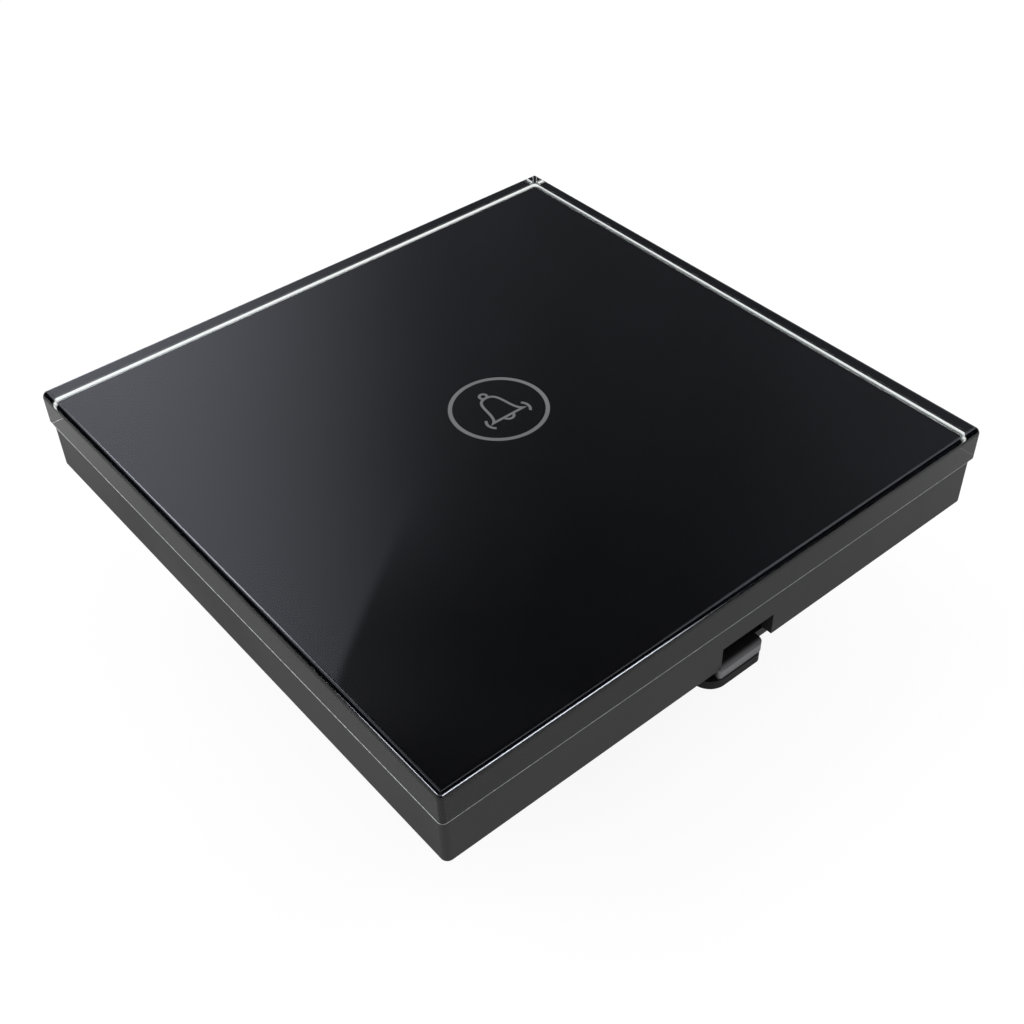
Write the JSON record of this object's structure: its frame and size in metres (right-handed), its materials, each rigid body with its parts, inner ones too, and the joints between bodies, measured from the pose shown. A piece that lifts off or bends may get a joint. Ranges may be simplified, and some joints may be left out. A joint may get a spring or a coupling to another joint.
{
  "type": "doorbell switch",
  "caption": "Flush square touch doorbell switch: glass front on a snap-off frame, steel mounting strap and a rear housing with screw terminals.",
  "frame": {"origin": "midway between the two wall-box screw slots, on the wall plane, which is the back of the mounting strap", "axes": "+Z out of the wall towards the glass, +Y towards the top of the bell pictogram, +X to the right as a visitor sees it; the pry notch is on the -Y edge"},
  "size_m": [0.08, 0.0802, 0.0377],
  "materials": {
    "clear_glass": "polished",
    "black_enamel": "fired, glossy through the glass",
    "smoked_film": "glossy",
    "grey_enamel": "satin print",
    "clear_adhesive": "translucent acrylic",
    "satin_black_plastic": "fine satin mould texture",
    "black_coated_steel": "satin black coat",
    "spring_steel": "bright strip",
    "board_laminate": "solder resist",
    "zinc_steel": "zinc plated",
    "conductive_foam": "open cell",
    "milky_plastic": "translucent white",
    "lamp_resin": "clear resin over phosphor",
    "chip_epoxy": "moulded",
    "chip_ceramic": "sintered",
    "connector_plastic": "moulded",
    "housing_plastic": "moulded",
    "relay_case": "moulded",
    "ferrite": "ground",
    "winding_tape": "wrapped",
    "capacitor_box": "moulded",
    "capacitor_sleeve": "shrunk sleeve",
    "varistor_coating": "dipped",
    "fuse_body": "coated",
    "terminal_plastic": "moulded",
    "nickelled_brass": "nickel plated",
    "brass": "stamped"
  },
  "bodies": {
    "base": {"mounting_strap": "black_coated_steel", "base_carrier": "satin_black_plastic", "snap_clips": "spring_steel", "touch_board": "board_laminate", "board_screws": "zinc_steel", "touch_electrode": "conductive_foam", "light_guide": "milky_plastic", "indicator_lamps": "lamp_resin", "touch_chip": "chip_epoxy", "chip_parts": "chip_ceramic", "board_header": "connector_plastic", "board_socket": "connector_plastic", "rear_housing": "housing_plastic", "housing_screws": "zinc_steel", "power_board": "board_laminate", "relay": "relay_case", "transformer_base": "connector_plastic", "transformer_core": "ferrite", "transformer_winding": "winding_tape", "film_capacitor": "capacitor_box", "electrolytic_capacitor": "capacitor_sleeve", "varistor": "varistor_coating", "fuse": "fuse_body", "terminal_block": "terminal_plastic", "contact_bars": "brass"},
    "front_panel": {"glass_panel": "clear_glass", "back_print": "black_enamel", "window_film": "smoked_film", "pictogram": "grey_enamel", "adhesive_tape": "clear_adhesive", "panel_frame": "satin_black_plastic"},
    "terminal_screw_1": {"terminal_screw_1": "zinc_steel"},
    "clamp_cage_1": {"clamp_cage_1": "nickelled_brass"},
    "terminal_screw_2": {"terminal_screw_2": "zinc_steel"},
    "clamp_cage_2": {"clamp_cage_2": "nickelled_brass"},
    "terminal_screw_3": {"terminal_screw_3": "zinc_steel"},
    "clamp_cage_3": {"clamp_cage_3": "nickelled_brass"}
  },
  "joints": [
    {"name": "front_release", "type": "slide", "parent": "base", "child": "front_panel", "axis": [0, 0, 1], "range_m": [0, 0.02], "deforming": ["snap_clips"]},
    {"name": "terminal_screw_1_turn", "type": "hinge", "parent": "base", "child": "terminal_screw_1", "pos_m": [-0.008, -0.0159, -0.0184], "axis": [0, 0, 1], "range_deg": [0, 2160]},
    {"name": "clamp_cage_1_rise", "type": "slide", "parent": "base", "child": "clamp_cage_1", "axis": [0, 0, -1], "range_m": [0, 0.003]},
    {"name": "terminal_screw_2_turn", "type": "hinge", "parent": "base", "child": "terminal_screw_2", "pos_m": [0, -0.0159, -0.0184], "axis": [0, 0, 1], "range_deg": [0, 2160]},
    {"name": "clamp_cage_2_rise", "type": "slide", "parent": "base", "child": "clamp_cage_2", "axis": [0, 0, -1], "range_m": [0, 0.003]},
    {"name": "terminal_screw_3_turn", "type": "hinge", "parent": "base", "child": "terminal_screw_3", "pos_m": [0.008, -0.0159, -0.0184], "axis": [0, 0, 1], "range_deg": [0, 2160]},
    {"name": "clamp_cage_3_rise", "type": "slide", "parent": "base", "child": "clamp_cage_3", "axis": [0, 0, -1], "range_m": [0, 0.003]}
  ],
  "couplings": [
    {"joint": "terminal_screw_1_turn", "follows": "clamp_cage_1_rise", "rad_per_m": 12566},
    {"joint": "terminal_screw_2_turn", "follows": "clamp_cage_2_rise", "rad_per_m": 12566},
    {"joint": "terminal_screw_3_turn", "follows": "clamp_cage_3_rise", "rad_per_m": 12566}
  ]
}
